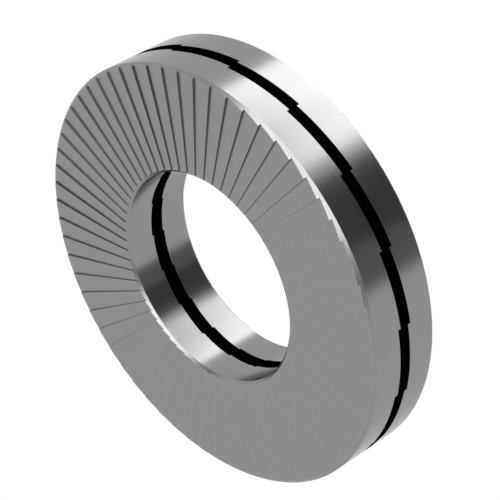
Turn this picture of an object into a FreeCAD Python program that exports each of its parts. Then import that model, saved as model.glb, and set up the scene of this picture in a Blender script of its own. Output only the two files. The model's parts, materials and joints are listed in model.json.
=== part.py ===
import FreeCAD, Part
import math
import os

# A pair of wedge lock washers for a bolt with an M5 thread and right-hand turns.
# Both washers are the same piece. They lie cam side to cam side, held by a thin
# layer of adhesive, with their saw teeth outwards. Sizes are in millimetres and
# degrees. The pair lies flat: +Z is up along the bore, and the origin is at the
# centre of the ring of tooth crests that the lower washer stands on.

# The ring that each washer is cut from
outside_diameter = 10.8
bore_diameter = 5.4
blank_height = 0.84
rim_chamfer = 0.10
bore_chamfer = 0.10

# Radial saw teeth on the outer face, cut from the blank's face downwards
tooth_count = 64
tooth_depth = 0.05
tooth_angle = 5.0

# Cams on the inner face, one flat ramp and one step each. A ramp turns about its
# own middle line, so the ramps of two washers lie flat on each other.
cam_count = 18
cam_angle = 2.5
cam_start = -5.0

# The adhesive between the ramps, measured along the bore
adhesive_thickness = 0.32

# Sizes that follow from the ones above
outside_radius = outside_diameter / 2
bore_radius = bore_diameter / 2
cam_pitch = 360.0 / cam_count
cam_middle = cam_start + cam_pitch / 2
half_step = outside_radius * math.sin(math.radians(cam_pitch / 2)) * math.tan(math.radians(cam_angle))

# How far a cutting shape stands past the ring that it cuts
overcut = tooth_depth

# Heights over the middle plane of the pair, for the washer above it
ramp_middle = adhesive_thickness / 2
face_height = ramp_middle + blank_height
root_height = face_height - tooth_depth

up = FreeCAD.Vector(0, 0, 1)
middle = FreeCAD.Vector(0, 0, 0)


def turned_copies(shape, count):
    """The shape again and again round the bore, evenly spaced."""
    copies = []
    for number in range(count):
        copy = shape.copy()
        copy.rotate(middle, up, number * 360.0 / count)
        copies.append(copy)
    return copies


def ring(corners):
    """The body that a profile of (radius, height) corners makes round the bore."""
    points = [FreeCAD.Vector(radius, 0, height) for radius, height in corners]
    profile = Part.Face(Part.makePolygon(points + points[:1]))
    return profile.revolve(middle, up, 360)


def washer_blank():
    """A plain ring with its two outer edges chamfered, deep enough for the cams."""
    foot = ramp_middle - half_step - overcut
    return ring([
        (bore_radius, foot),
        (outside_radius, foot),
        (outside_radius, face_height - rim_chamfer),
        (outside_radius - rim_chamfer, face_height),
        (bore_radius + bore_chamfer, face_height),
        (bore_radius, face_height - bore_chamfer),
    ])


def tooth_groove():
    """One groove across the face: an upright flank and a ramp, centred on the bore's
    radius, so the root of a tooth passes half a groove's width beside the bore's axis."""
    slope = math.tan(math.radians(tooth_angle))
    root_side = tooth_depth / slope / 2
    above = face_height + overcut
    ramp_run = (above - root_height) / slope
    start = bore_radius - overcut
    corners = [
        FreeCAD.Vector(start, root_side, root_height),
        FreeCAD.Vector(start, root_side, above),
        FreeCAD.Vector(start, root_side - ramp_run, above),
    ]
    section = Part.Face(Part.makePolygon(corners + corners[:1]))
    return section.extrude(FreeCAD.Vector(outside_radius + overcut - start, 0, 0))


def cam_relief():
    """What one cam leaves free under its ramp: a slice of the ring's pitch, cut off
    above by a plane that leans about the slice's middle line."""
    reach = outside_radius + overcut
    depth = 2 * (half_step + overcut)
    slice_ = Part.makeCylinder(reach, 2 * depth, FreeCAD.Vector(0, 0, ramp_middle - depth), up, cam_pitch)
    slice_.rotate(middle, up, cam_start)
    above = Part.makeBox(2 * reach, 2 * reach, 2 * depth, FreeCAD.Vector(-reach, -reach, ramp_middle))
    above.rotate(FreeCAD.Vector(0, 0, ramp_middle), FreeCAD.Vector(1, 0, 0), cam_angle)
    above.rotate(middle, up, cam_middle)
    return slice_.cut(above)


def washer():
    """One washer, toothed face up, with its ramps half the adhesive over the middle."""
    body = washer_blank()
    body = body.cut(turned_copies(tooth_groove(), tooth_count))
    return body.cut(turned_copies(cam_relief(), cam_count))


def turned_over(body):
    """The same piece on the other side of the middle plane. It turns about the middle
    line of a cam, so that ramp faces ramp."""
    other = body.copy()
    line = FreeCAD.Vector(math.cos(math.radians(cam_middle)), math.sin(math.radians(cam_middle)), 0)
    other.rotate(middle, line, 180)
    return other


def adhesive(above, below):
    """All the room between the ramps, flush with the rim and the bore."""
    reach = ramp_middle + 2 * half_step
    layer = ring([
        (bore_radius, -reach),
        (outside_radius, -reach),
        (outside_radius, reach),
        (bore_radius, reach),
    ])
    return layer.cut([above, below])


def single_solid(shape):
    """The one solid that a cut leaves."""
    solids = shape.Solids
    if len(solids) != 1:
        raise ValueError("a piece came out as %d solids" % len(solids))
    return solids[0]


upper_washer = single_solid(washer())
lower_washer = turned_over(upper_washer)
adhesive_layer = single_solid(adhesive(upper_washer, lower_washer))

lift = FreeCAD.Vector(0, 0, -min(corner.Z for corner in lower_washer.Vertexes))
os.makedirs("parts", exist_ok=True)
for name, body in (
    ("upper_washer", upper_washer),
    ("lower_washer", lower_washer),
    ("adhesive_layer", adhesive_layer),
):
    body.translate(lift)
    body.exportStep("parts/%s.step" % name)
    print(name, "volume", round(body.Volume, 4), "top", round(body.BoundBox.ZMax, 4), "valid", body.isValid())
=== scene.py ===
import bpy
import bmesh
import json
import math
from mathutils import Matrix, Vector


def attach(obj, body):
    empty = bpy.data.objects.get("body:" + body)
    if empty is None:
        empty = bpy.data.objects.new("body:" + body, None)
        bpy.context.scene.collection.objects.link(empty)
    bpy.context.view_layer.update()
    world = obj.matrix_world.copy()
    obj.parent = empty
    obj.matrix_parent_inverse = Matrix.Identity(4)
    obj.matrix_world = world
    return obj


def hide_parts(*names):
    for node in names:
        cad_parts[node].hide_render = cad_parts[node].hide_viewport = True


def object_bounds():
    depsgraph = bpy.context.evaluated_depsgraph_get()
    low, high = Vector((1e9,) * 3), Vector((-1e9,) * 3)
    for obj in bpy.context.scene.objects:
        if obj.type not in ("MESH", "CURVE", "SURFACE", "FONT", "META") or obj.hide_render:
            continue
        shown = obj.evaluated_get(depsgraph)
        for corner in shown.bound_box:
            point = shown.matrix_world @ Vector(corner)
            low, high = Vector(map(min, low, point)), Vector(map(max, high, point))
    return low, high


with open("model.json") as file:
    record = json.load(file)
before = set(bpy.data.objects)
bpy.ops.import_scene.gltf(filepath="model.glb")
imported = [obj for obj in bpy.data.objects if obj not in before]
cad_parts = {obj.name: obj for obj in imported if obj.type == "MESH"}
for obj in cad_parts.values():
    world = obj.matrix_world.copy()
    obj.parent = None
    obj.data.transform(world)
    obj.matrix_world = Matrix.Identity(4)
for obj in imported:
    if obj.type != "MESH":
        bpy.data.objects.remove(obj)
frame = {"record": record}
cad_low, cad_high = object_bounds()

# The pieces are modelled in millimetres and then brought to metres.
MM = 0.001

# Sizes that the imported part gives
bore_mount = next(m for m in frame["record"]["mounts"] if m["name"] == "bore")
outside_radius = cad_high.x / MM
bore_radius = bore_mount["dims"]["r_mm"]
middle_height = (cad_low.z + cad_high.z) / 2 / MM
wall_half = bore_mount["dims"]["length_mm"] / 2

# Sizes of the washers, as they are made
rim_chamfer = 0.10
tooth_count = 64
tooth_depth = 0.05
tooth_angle = math.radians(5.0)
cam_count = 18
cam_angle = math.radians(2.5)
cam_middle = math.radians(5.0)
adhesive_thickness = 0.32

# The adhesive lies a hair inside the round walls, and each of its two faces rises a little
# towards the bore, where the photograph shows it thicker
adhesive_inset = 0.002
bore_rise = 0.018

# Heights over the middle of the pair
face_height = wall_half + rim_chamfer
root_height = face_height - tooth_depth
ramp_middle = adhesive_thickness / 2
cam_pitch = 2 * math.pi / cam_count
half_step = outside_radius * math.sin(cam_pitch / 2) * math.tan(cam_angle)

# How far a flank's plane stands off the radial line
flank_offset = tooth_depth / math.tan(tooth_angle) / 2

# How finely the round walls are divided, how far a cutter stands past the steel, and how much
# wider it is on the side of a cam's step
wall_steps = 720
overcut = 0.05
step_overlap = math.radians(2)

# Lengths this close are the same, and corners this close become one, before cutting and after it
same_length = 1e-4
weld_before_cuts = 1e-5
weld_after_cuts = 2e-5

# Edges that bend less than this are shaded smooth
smooth_bend = math.radians(20)

# A face is part of a round wall if its normal is nearly level and nearly radial
wall_tilt = 0.01
wall_facing = 0.99


def nothing_selected():
    """Leaves the CAD nodes and everything else unselected."""
    bpy.ops.object.select_all(action="DESELECT")


def make_active(piece):
    nothing_selected()
    piece.select_set(True)
    bpy.context.view_layer.objects.active = piece


def apply_place(piece):
    """Puts a piece's place, turn and scale into its mesh."""
    make_active(piece)
    bpy.ops.object.transform_apply(location=True, rotation=True, scale=True)


def pick(piece, kind, wanted):
    """Selects the vertices, edges or faces that a test says yes to, in edit mode."""
    bpy.ops.mesh.select_mode(type=kind)
    bpy.ops.mesh.select_all(action="DESELECT")
    mesh = bmesh.from_edit_mesh(piece.data)
    for part in {"VERT": mesh.verts, "EDGE": mesh.edges, "FACE": mesh.faces}[kind]:
        part.select_set(bool(wanted(part)))
    bmesh.update_edit_mesh(piece.data)


def near(one, two):
    return abs(one - two) < same_length


def everything():
    """Selects the whole mesh, in edit mode."""
    bpy.ops.mesh.select_all(action="SELECT")


def weld(apart):
    """Makes one corner of those that lie on top of each other, in edit mode."""
    everything()
    bpy.ops.mesh.remove_doubles(threshold=apart)


def turn_outwards():
    """Turns every face's normal out of the piece, in edit mode."""
    everything()
    bpy.ops.mesh.normals_make_consistent(inside=False)


def spun_ring(name, low, high, inset=0.0):
    """A plain ring between two heights: an upright rectangle, spun round the bore."""
    nothing_selected()
    bpy.ops.mesh.primitive_plane_add(
        size=1, rotation=(math.pi / 2, 0, 0),
        location=((bore_radius + outside_radius) / 2, 0, (low + high) / 2),
    )
    ring = bpy.context.object
    ring.name = name
    ring.data.name = name
    ring.scale = (outside_radius - bore_radius - 2 * inset, high - low, 1)
    apply_place(ring)
    bpy.ops.object.mode_set(mode="EDIT")
    everything()
    bpy.ops.mesh.delete(type="ONLY_FACE")
    everything()
    bpy.ops.mesh.spin(steps=wall_steps, angle=2 * math.pi, center=(0, 0, 0), axis=(0, 0, 1))
    weld(weld_before_cuts)
    turn_outwards()
    bpy.ops.object.mode_set(mode="OBJECT")
    # Half a division on, so that no division lies where a tooth or a cam is cut
    ring.rotation_euler.z = math.pi / wall_steps
    apply_place(ring)
    return ring


def chamfer_top(ring, top):
    """Bevels the two round edges of the face."""
    make_active(ring)
    bpy.ops.object.mode_set(mode="EDIT")
    for radius in (outside_radius, bore_radius):
        pick(ring, "EDGE", lambda edge: all(
            near(corner.co.z, top) and near(corner.co.xy.length, radius) for corner in edge.verts))
        bpy.ops.mesh.bevel(offset=rim_chamfer, offset_type="OFFSET", segments=1, affect="EDGES")
    bpy.ops.object.mode_set(mode="OBJECT")


def block(low, high):
    """A box between two corners, to cut with."""
    nothing_selected()
    bpy.ops.mesh.primitive_cube_add(size=1, location=[(a + b) / 2 for a, b in zip(low, high)])
    box = bpy.context.object
    box.scale = [b - a for a, b in zip(low, high)]
    apply_place(box)
    return box


def move_corners(box, wanted, shift):
    """Moves the corners that a test says yes to."""
    pick(box, "VERT", wanted)
    bpy.ops.transform.translate(value=shift)


def tooth_groove():
    """A long wedge: upright on the flank's side, sloping up from the root on the other."""
    above = face_height + overcut
    rise = above - root_height
    start = bore_radius - overcut
    far_side = flank_offset - rise / math.tan(tooth_angle)
    groove = block((start, far_side, root_height), (outside_radius + overcut, flank_offset, above))
    bpy.ops.object.mode_set(mode="EDIT")

    def far_and_low(corner):
        return corner.co.y < 0 and near(corner.co.z, root_height)
    move_corners(groove, far_and_low, (0, 0, rise))
    weld(weld_before_cuts)
    bpy.ops.object.mode_set(mode="OBJECT")
    return groove


def cam_relief():
    """The room under one cam: a slice of cake whose top leans about the slice's middle line.

    The slice is a little wider on the clockwise side, where the cam's step is upright. Its top
    also falls a hair outwards, which leaves the adhesive thicker at the bore.
    """
    foot = ramp_middle - 2 * (half_step + overcut)
    length = outside_radius + overcut
    half_widths = {
        1: length * math.tan(cam_pitch / 2),
        -1: length * math.tan(cam_pitch / 2 + step_overlap),
    }
    rise_in_middle = bore_rise * outside_radius / (outside_radius - bore_radius)
    relief = block((0, -1, foot), (length, 1, ramp_middle))
    bpy.ops.object.mode_set(mode="EDIT")
    move_corners(
        relief, lambda corner: near(corner.co.x, 0) and near(corner.co.z, ramp_middle),
        (0, 0, rise_in_middle),
    )
    for side, half_width in half_widths.items():
        def on_rim(corner):
            return corner.co.x > overcut and corner.co.y * side > 0

        def in_middle(corner):
            return near(corner.co.x, 0) and corner.co.y * side > 0

        def at_top(corner):
            return on_rim(corner) and corner.co.z > foot + overcut
        move_corners(relief, on_rim, (0, side * (half_width - 1), 0))
        move_corners(relief, in_middle, (0, -side, 0))
        move_corners(relief, at_top, (0, 0, side * half_width * math.tan(cam_angle)))
    weld(weld_before_cuts)
    turn_outwards()
    bpy.ops.object.mode_set(mode="OBJECT")
    return relief


def merge_doubles(piece):
    """Makes one vertex of those that the cutting left on top of each other."""
    make_active(piece)
    bpy.ops.object.mode_set(mode="EDIT")
    weld(weld_after_cuts)
    bpy.ops.object.mode_set(mode="OBJECT")


def cut_away(body, cutter):
    """Takes from a body what it shares with a cutter."""
    make_active(body)
    cut = body.modifiers.new("cut", "BOOLEAN")
    cut.operation = "DIFFERENCE"
    cut.solver = "EXACT"
    cut.object = cutter
    bpy.ops.object.modifier_apply(modifier=cut.name)


def cut_round(body, cutter, count, start=0.0):
    """Cuts the same shape out again and again round the bore, then throws the cutter away."""
    for number in range(count):
        cutter.rotation_euler.z = start + number * 2 * math.pi / count
        cut_away(body, cutter)
    bpy.data.objects.remove(cutter)


def washer():
    """The upper washer, over the middle of the pair at height 0."""
    body = spun_ring("upper_washer_steel", ramp_middle - half_step - overcut, face_height)
    chamfer_top(body, face_height)
    cut_round(body, tooth_groove(), tooth_count)
    cut_round(body, cam_relief(), cam_count, cam_middle)
    merge_doubles(body)
    return body


def adhesive_layer(upper_body, lower_body):
    """A ring that both washers bite into: what they leave of it is the layer between them."""
    reach = ramp_middle + half_step + overcut
    layer = spun_ring("adhesive_bead", -reach, reach, adhesive_inset)
    for body in (upper_body, lower_body):
        cut_away(layer, body)
    merge_doubles(layer)
    return layer


def turned_over(body, name):
    """The same piece under the middle of the pair, turned over about the middle of a cam."""
    other = body.copy()
    other.data = body.data.copy()
    other.name = name
    other.data.name = name
    bpy.context.scene.collection.objects.link(other)
    line = Vector((math.cos(cam_middle), math.sin(cam_middle), 0))
    other.matrix_world = Matrix.Rotation(math.pi, 4, line)
    apply_place(other)
    return other


def to_its_place(piece):
    """Brings a piece to metres, and lifts it from height 0 to the middle of the pair."""
    piece.location.z = middle_height * MM
    piece.scale = (MM, MM, MM)
    apply_place(piece)
    make_active(piece)
    bpy.ops.object.shade_smooth_by_angle(angle=smooth_bend)


# Camera: it looks down at the pair from the front, rolled so that the bore points left and down
camera_elevation = math.atan(1 / math.sqrt(2))
camera_roll = math.radians(-120)
camera_distance = 50.436
camera_aim = Vector((0.06, -0.795, middle_height))
camera_lens = 155.43

# What the camera shows lies between these distances from it, in metres
nearest_shown = 0.001
farthest_shown = 10


def make_camera():
    """The photograph's own view of the pair."""
    sine, cosine = math.sin(camera_elevation), math.cos(camera_elevation)
    backward = Vector((0, -cosine, sine))
    level_up = Vector((0, sine, cosine))
    right = Vector((1, 0, 0)) * math.cos(camera_roll) + level_up * math.sin(camera_roll)
    up = backward.cross(right)
    lens = bpy.data.cameras.new("photo_view")
    lens.lens = camera_lens
    lens.clip_start = nearest_shown
    lens.clip_end = farthest_shown
    camera = bpy.data.objects.new("photo_view", lens)
    bpy.context.scene.collection.objects.link(camera)
    turn = Matrix((right, up, backward)).transposed().to_4x4()
    camera.matrix_world = Matrix.Translation((camera_aim + backward * camera_distance) * MM) @ turn
    bpy.context.scene.camera = camera


# The middle of what a noise gives, which is stretched over a pattern's whole range
noise_low = 0.3
noise_high = 0.7


class Recipe:
    """A material in the making: its nodes, and the wires between them."""

    def __init__(self, name):
        self.made = bpy.data.materials.new(name)
        self.made.use_nodes = True
        self.nodes = self.made.node_tree.nodes
        self.links = self.made.node_tree.links
        self.shader = self.nodes["Principled BSDF"]
        self.coordinates = self.nodes.new("ShaderNodeTexCoord")

    def give(self, socket, value):
        """Another node's output comes by a wire, and a plain value goes on the socket itself."""
        if isinstance(value, bpy.types.NodeSocket):
            self.links.new(value, socket)
        else:
            socket.default_value = value

    def set(self, name, value):
        """Sets one of the shader's own sockets."""
        self.give(self.shader.inputs[name], value)

    def place(self):
        """Where a point of the piece lies, in millimetres."""
        return self.vector("SCALE", self.coordinates.outputs["Object"], scale=1 / MM)

    def levelness(self):
        """1 on a surface that lies level, 0 on one that stands upright."""
        axes = self.nodes.new("ShaderNodeSeparateXYZ")
        self.give(axes.inputs[0], self.coordinates.outputs["Normal"])
        return self.math("ABSOLUTE", axes.outputs["Z"])

    def vector(self, operation, one, other=None, scale=None):
        """A sum done on vectors."""
        node = self.nodes.new("ShaderNodeVectorMath")
        node.operation = operation
        self.give(node.inputs[0], one)
        if other is not None:
            self.give(node.inputs[1], other)
        if scale is not None:
            node.inputs["Scale"].default_value = scale
        return node.outputs[0]

    def math(self, operation, *values):
        """A sum done on numbers."""
        node = self.nodes.new("ShaderNodeMath")
        node.operation = operation
        for socket, value in zip(node.inputs, values):
            self.give(socket, value)
        return node.outputs[0]

    def noise(self, vector, scale, detail=3.0):
        """Cloudy noise, finer with the scale, and richer with the detail."""
        node = self.nodes.new("ShaderNodeTexNoise")
        self.give(node.inputs["Vector"], vector)
        node.inputs["Scale"].default_value = scale
        node.inputs["Detail"].default_value = detail
        return node.outputs["Fac"]

    def spread(self, value, low, high, from_low=noise_low, from_high=noise_high):
        """Stretches a value between two limits, which it doesn't pass."""
        node = self.nodes.new("ShaderNodeMapRange")
        self.give(node.inputs["Value"], value)
        node.inputs["From Min"].default_value = from_low
        node.inputs["From Max"].default_value = from_high
        node.inputs["To Min"].default_value = low
        node.inputs["To Max"].default_value = high
        return node.outputs[0]

    def blend(self, share, one, other):
        """A colour between two, more of the second as the share grows."""
        node = self.nodes.new("ShaderNodeMix")
        node.data_type = "RGBA"
        self.give(node.inputs["Factor"], share)
        self.give(node.inputs["A"], one)
        self.give(node.inputs["B"], other)
        return node.outputs["Result"]

    def bump(self, height, depth):
        """Relief of the shading alone, its depth in millimetres."""
        node = self.nodes.new("ShaderNodeBump")
        node.inputs["Strength"].default_value = 1.0
        node.inputs["Distance"].default_value = depth * MM
        self.give(node.inputs["Height"], height)
        self.set("Normal", node.outputs[0])


# Adhesive: black, hardly lighter where it is uneven, and dull
adhesive_dark = (0.0003, 0.0003, 0.0003, 1)
adhesive_light = (0.0011, 0.0011, 0.0012, 1)
adhesive_roughness = (0.7, 0.9)
uneven_scale = 9.0
uneven_detail = 5.0

# Steel: the greys of its grain and of an edge that is rubbed, a darker grey painted on as shade
# in the tooth roots, and the tint of what it mirrors where it is seen nearly edge on
steel_dark = (0.256, 0.256, 0.258, 1)
steel_light = (0.270, 0.270, 0.272, 1)
steel_rubbed = (0.310, 0.309, 0.307, 1)
steel_painted_shade = (0.220, 0.220, 0.221, 1)
edge_tint = (0.80, 0.80, 0.80, 1)
face_roughness = 0.28
wall_roughness = 0.20

# How much the roughness varies with the grain, and how much wear takes off it
roughness_play = 0.02
wear_polish = 0.06

# Wear and the painted root shade: how wide they are, in millimetres, how large the wear's patches
# are, how much of it each leaves, and the shares of a tooth's rise over which the crest's wear
# begins and the painted shade at the root ends
wear_and_shade_width = 0.035
patch_scale = 2.2
patch_wear = (0.1, 0.6)
crest_share = (0.5, 0.9)
painted_shade_share = (0.1, 1.0)

# The grain of the toothed face, its lapping lines, and the turning lines of the round walls. A
# stretch squeezes the noise along each axis.
grain_scale = 14.0
grain_detail = 5.0
lapping_stretch = (1.5, 45.0, 1.5)
turning_stretch = (0.8, 0.8, 32.0)
turning_detail = 4.0
line_scale = 1.0

# Depths of the fine relief, in millimetres
face_relief = 0.00015
wall_relief = 0.0004
adhesive_relief = 0.004


def polar(recipe, place):
    """A point's distance from the bore's axis, its angle round it, and its height in the pair."""
    axes = recipe.nodes.new("ShaderNodeSeparateXYZ")
    recipe.give(axes.inputs[0], place)
    x, y, z = axes.outputs
    squares = [recipe.math("MULTIPLY", side, side) for side in (x, y)]
    radius = recipe.math("SQRT", recipe.math("ADD", *squares))
    angle = recipe.math("ARCTAN2", y, x)
    height = recipe.math("SUBTRACT", z, middle_height)
    return radius, angle, height


def by_an_edge(recipe, distance):
    """1 on an edge, fading to 0 a little way off."""
    return recipe.spread(distance, 1.0, 0.0, 0.0, wear_and_shade_width)


def rubbed(recipe, distance, patches):
    """1 on an edge, fading to 0 a little way off, and broken up by the patches."""
    return recipe.math("MULTIPLY", by_an_edge(recipe, distance), patches)


def wear_patches(recipe, place):
    """Where edges are rubbed more, and where less."""
    return recipe.spread(recipe.noise(place, patch_scale), *patch_wear)


def tooth_place(recipe, radius, angle, height):
    """How far a point lies from the nearest flank, and its share of the rise from root to crest.

    A flank is a plane beside the radial line, so its angle changes with the radius. The lower
    washer's teeth are the upper's, turned over about the middle of a cam.
    """
    pitch = 2 * math.pi / tooth_count
    half_or_other = recipe.math("SIGN", height)
    from_cam = recipe.math("SUBTRACT", angle, cam_middle)
    own_angle = recipe.math("ADD", recipe.math("MULTIPLY", half_or_other, from_cam), cam_middle)
    lead = recipe.math("ARCSINE", recipe.math("DIVIDE", flank_offset, radius))
    turns = recipe.math("DIVIDE", recipe.math("SUBTRACT", own_angle, lead), pitch)
    pitch_length = recipe.math("MULTIPLY", radius, pitch)
    distance = recipe.math("MULTIPLY", recipe.math("PINGPONG", turns, 0.5), pitch_length)
    over_root = recipe.math("SUBTRACT", recipe.math("ABSOLUTE", height), root_height)
    full_rise = recipe.math("MULTIPLY", pitch_length, math.tan(tooth_angle))
    return distance, recipe.math("DIVIDE", over_root, full_rise)


def ring_distance(recipe, value, *edges):
    """How far a radius or a height lies from the nearest of some edges."""
    distances = [recipe.math("ABSOLUTE", recipe.math("SUBTRACT", value, edge)) for edge in edges]
    nearest = distances[0]
    for distance in distances[1:]:
        nearest = recipe.math("MINIMUM", nearest, distance)
    return nearest


def finish_steel(recipe, grain, worn, painted_shade, roughness):
    """Grey that varies with the grain, darker where shade is painted on, lighter and smoother where
    worn.
    """
    recipe.set("Metallic", 1.0)
    recipe.set("Specular Tint", edge_tint)
    clean = recipe.blend(recipe.spread(grain, 0.0, 1.0), steel_dark, steel_light)
    grey = recipe.blend(painted_shade, clean, steel_painted_shade)
    recipe.set("Base Color", recipe.blend(worn, grey, steel_rubbed))
    even = recipe.spread(grain, roughness - roughness_play, roughness + roughness_play)
    polished = recipe.math("MULTIPLY", worn, wear_polish)
    recipe.set("Roughness", recipe.math("SUBTRACT", even, polished))


def toothed_steel():
    """Coined steel: a fine grain, faint lapping lines, crests and rims rubbed bright, and shade
    painted darker low on the flanks by the roots.
    """
    recipe = Recipe("toothed_steel")
    place = recipe.place()
    radius, angle, height = polar(recipe, place)
    grain = recipe.noise(place, grain_scale, grain_detail)
    lines = recipe.noise(recipe.vector("MULTIPLY", place, lapping_stretch), line_scale)
    patches = wear_patches(recipe, place)
    distance, rise = tooth_place(recipe, radius, angle, height)
    level = recipe.levelness()
    on_crest = recipe.math("MULTIPLY", recipe.spread(rise, 0.0, 1.0, *crest_share), level)
    crests = recipe.math("MULTIPLY", rubbed(recipe, distance, patches), on_crest)
    # Painted shade: the lower part of each upright flank, by the root, is drawn darker, as shade in
    # the crease between the teeth
    upright = recipe.math("SUBTRACT", 1.0, level)
    painted_shade_by_root = recipe.math("MULTIPLY", recipe.spread(rise, 1.0, 0.0, *painted_shade_share), upright)
    painted_shade = recipe.math("MULTIPLY", by_an_edge(recipe, distance), painted_shade_by_root)
    chamfer_edges = (outside_radius - rim_chamfer, bore_radius + rim_chamfer)
    rims = rubbed(recipe, ring_distance(recipe, radius, *chamfer_edges), patches)
    finish_steel(recipe, grain, recipe.math("MAXIMUM", crests, rims), painted_shade, face_roughness)
    halves = [recipe.math("MULTIPLY", pattern, 0.5) for pattern in (grain, lines)]
    recipe.bump(recipe.math("ADD", *halves), face_relief)
    return recipe.made


def turned_steel():
    """The round walls: fine lines round the ring, and rims rubbed bright."""
    recipe = Recipe("turned_steel")
    place = recipe.place()
    height = polar(recipe, place)[2]
    squeezed = recipe.vector("MULTIPLY", place, turning_stretch)
    lines = recipe.noise(squeezed, line_scale, turning_detail)
    patches = wear_patches(recipe, place)
    rims = rubbed(recipe, ring_distance(recipe, height, wall_half, -wall_half), patches)
    finish_steel(recipe, lines, rims, 0.0, wall_roughness)
    recipe.bump(lines, wall_relief)
    return recipe.made


def black_adhesive():
    """Cured adhesive: dull black, a little uneven."""
    recipe = Recipe("black_adhesive")
    place = recipe.place()
    uneven = recipe.noise(place, uneven_scale, uneven_detail)
    black = recipe.blend(recipe.spread(uneven, 0.0, 1.0), adhesive_dark, adhesive_light)
    recipe.set("Base Color", black)
    recipe.set("Roughness", recipe.spread(uneven, *adhesive_roughness))
    recipe.set("Specular IOR Level", 0.0)
    recipe.bump(uneven, adhesive_relief)
    return recipe.made


def dress_washer(piece, faces_steel, walls_steel):
    """The toothed face, flanks, chamfers and cams in one finish, and the round walls in another."""
    piece.data.materials.clear()
    piece.data.materials.append(faces_steel)
    piece.data.materials.append(walls_steel)
    make_active(piece)
    bpy.ops.object.mode_set(mode="EDIT")

    def is_wall(face):
        outwards = face.calc_center_median()
        outwards.z = 0
        radial = abs(face.normal.dot(outwards.normalized())) > wall_facing
        return abs(face.normal.z) < wall_tilt and radial
    pick(piece, "FACE", is_wall)
    piece.active_material_index = 1
    bpy.ops.object.material_slot_assign()
    bpy.ops.object.mode_set(mode="OBJECT")


def looked_at(nodes, links):
    """1 for a ray that the camera, a gloss or a clear body sends out, and 0 for the rest."""
    path = nodes.new("ShaderNodeLightPath")
    found = path.outputs["Is Camera Ray"]
    for name in ("Is Glossy Ray", "Is Transmission Ray"):
        either = nodes.new("ShaderNodeMath")
        either.operation = "MAXIMUM"
        links.new(found, either.inputs[0])
        links.new(path.outputs[name], either.inputs[1])
        found = either.outputs[0]
    return found


# The pair hangs in the air over the floor, so that no shadow lies at its foot, as in the
# photograph. Lengths in metres.
floor_drop = 0.12
floor_size = 4

# The floor gives back its own colour to the light, and to the camera and the steel a darker one
# and a glow. Together these are white under the ambient light, and leave the shadows.
floor_colour = (0.85, 0.85, 0.85, 1)
floor_shadow = (0.24, 0.24, 0.24, 1)
floor_roughness = 0.9
ambient = 0.5
white = (1, 1, 1, 1)


def make_floor():
    """A pale floor. Looked at, it is white where no shadow falls on it."""
    nothing_selected()
    bpy.ops.mesh.primitive_plane_add(size=floor_size, location=(0, 0, -floor_drop))
    floor = bpy.context.object
    floor.name = "floor"
    recipe = Recipe("pale_floor")
    seen = looked_at(recipe.nodes, recipe.links)
    recipe.set("Base Color", recipe.blend(seen, floor_colour, floor_shadow))
    recipe.set("Emission Color", white)
    recipe.set("Emission Strength", recipe.math("MULTIPLY", seen, 1 - floor_shadow[0] * ambient))
    recipe.set("Roughness", floor_roughness)
    recipe.set("Specular IOR Level", 0.0)
    floor.data.materials.append(recipe.made)


def make_world():
    """White to look at, for the camera and for the steel, and a plain soft light otherwise."""
    world = bpy.data.worlds.new("studio")
    world.use_nodes = True
    bpy.context.scene.world = world
    nodes, links = world.node_tree.nodes, world.node_tree.links
    soft = nodes["Background"]
    soft.inputs["Color"].default_value = white
    soft.inputs["Strength"].default_value = ambient
    seen = nodes.new("ShaderNodeBackground")
    seen.inputs["Color"].default_value = white
    seen.inputs["Strength"].default_value = 1.0
    mix = nodes.new("ShaderNodeMixShader")
    links.new(looked_at(nodes, links), mix.inputs[0])
    links.new(soft.outputs[0], mix.inputs[1])
    links.new(seen.outputs[0], mix.inputs[2])
    links.new(mix.outputs[0], nodes["World Output"].inputs["Surface"])


def direction(azimuth, elevation):
    """A direction in the part's frame: azimuth from +X towards +Y, elevation over the floor."""
    a, e = math.radians(azimuth), math.radians(elevation)
    return Vector((math.cos(e) * math.cos(a), math.cos(e) * math.sin(a), math.sin(e)))


def facing_the_pair(azimuth, elevation, distance, roll=0):
    """The place of a lamp or a panel that faces the pair from a distance in metres.

    A roll, in degrees, lifts the end with the greater azimuth, and drops it if it is negative.
    """
    towards = direction(azimuth, elevation)
    turn = towards.to_track_quat("Z", "Y").to_matrix().to_4x4()
    lift = Matrix.Rotation(math.radians(roll), 4, "Z")
    return Matrix.Translation(towards * distance) @ turn @ lift


def span(angle, distance):
    """The length that fills an angle, given in degrees, at a distance."""
    return 2 * distance * math.tan(math.radians(angle) / 2)


def softbox(name, azimuth, elevation, width, height, strength, distance, roll=0):
    """An oblong lamp. Its width and height are the angles that it fills, and 1 is as white paper."""
    lamp = bpy.data.lights.new(name, "AREA")
    lamp.shape = "RECTANGLE"
    lamp.size = span(width, distance)
    lamp.size_y = span(height, distance)
    lamp.energy = strength * lamp.size * lamp.size_y * math.pi
    box = bpy.data.objects.new(name, lamp)
    bpy.context.scene.collection.objects.link(box)
    box.matrix_world = facing_the_pair(azimuth, elevation, distance, roll)
    box.visible_camera = False


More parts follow.
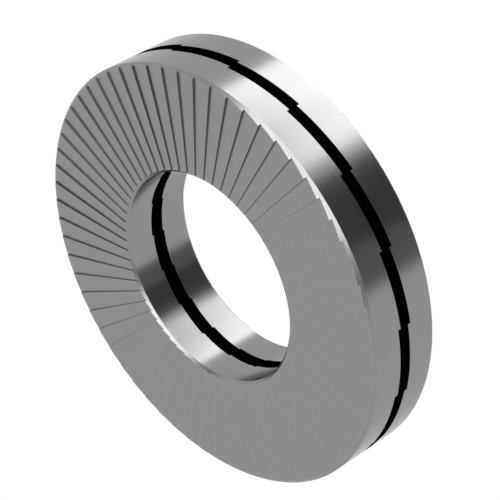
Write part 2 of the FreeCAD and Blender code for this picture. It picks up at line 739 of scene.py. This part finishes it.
def flag(name, colour, azimuth, elevation, width, height, distance):
    """A dark panel beside a lamp, for the steel to mirror. The camera sees neither."""
    nothing_selected()
    bpy.ops.mesh.primitive_plane_add(size=1)
    panel = bpy.context.object
    panel.name = name
    sides = Matrix.Diagonal((span(width, distance), span(height, distance), 1, 1))
    panel.matrix_world = facing_the_pair(azimuth, elevation, distance) @ sides
    recipe = Recipe(name + "_cloth")
    recipe.set("Base Color", colour)
    recipe.set("Roughness", 1.0)
    recipe.set("Specular IOR Level", 0.0)
    panel.data.materials.append(recipe.made)
    panel.visible_camera = False


black_cloth = (0.175, 0.175, 0.193, 1)
grey_cloth = (0.38, 0.38, 0.39, 1)

# Distances in metres and rolls in degrees. The high lamp's roll follows what the two chamfers
# mirror. Its strength is what the face bears, seen from behind, without turning white.
low_distance = 0.072
low_roll = 7
high_distance = 0.30
high_roll = -14
high_strength = 4.0


def make_lights():
    """Low, for the round walls, two lamps and two flags. High, for the chamfers, a lamp and two."""
    low = {"distance": low_distance}
    high = {"distance": high_distance}
    softbox("low_softbox", azimuth=-38, elevation=-45, width=47, height=22, strength=2.9,
            roll=low_roll, **low)
    softbox("low_softbox_core", azimuth=-44, elevation=-44, width=26, height=22, strength=0.5,
            roll=low_roll, **low)
    flag("low_flag", black_cloth, azimuth=-95, elevation=-35, width=31, height=34, **low)
    flag("low_flag_side", grey_cloth, azimuth=-124, elevation=-35, width=17, height=34, **low)
    softbox("high_softbox", azimuth=-60, elevation=55, width=58, height=14, strength=high_strength,
            roll=high_roll, **high)
    flag("high_flag_right", black_cloth, azimuth=4, elevation=48, width=13, height=30, **high)
    flag("high_flag_left", black_cloth, azimuth=-134, elevation=48, width=13, height=30, **high)


upper = washer()
lower = turned_over(upper, "lower_washer_steel")
glue = adhesive_layer(upper, lower)
faces_steel = toothed_steel()
walls_steel = turned_steel()
for piece, node in ((upper, "upper_washer"), (lower, "lower_washer")):
    to_its_place(piece)
    dress_washer(piece, faces_steel, walls_steel)
    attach(piece, "root")
    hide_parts(node)
to_its_place(glue)
glue.data.materials.clear()
glue.data.materials.append(black_adhesive())
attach(glue, "root")
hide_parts("adhesive_layer")

bpy.context.scene.view_settings.view_transform = "Standard"
make_floor()
make_world()
make_lights()
make_camera()
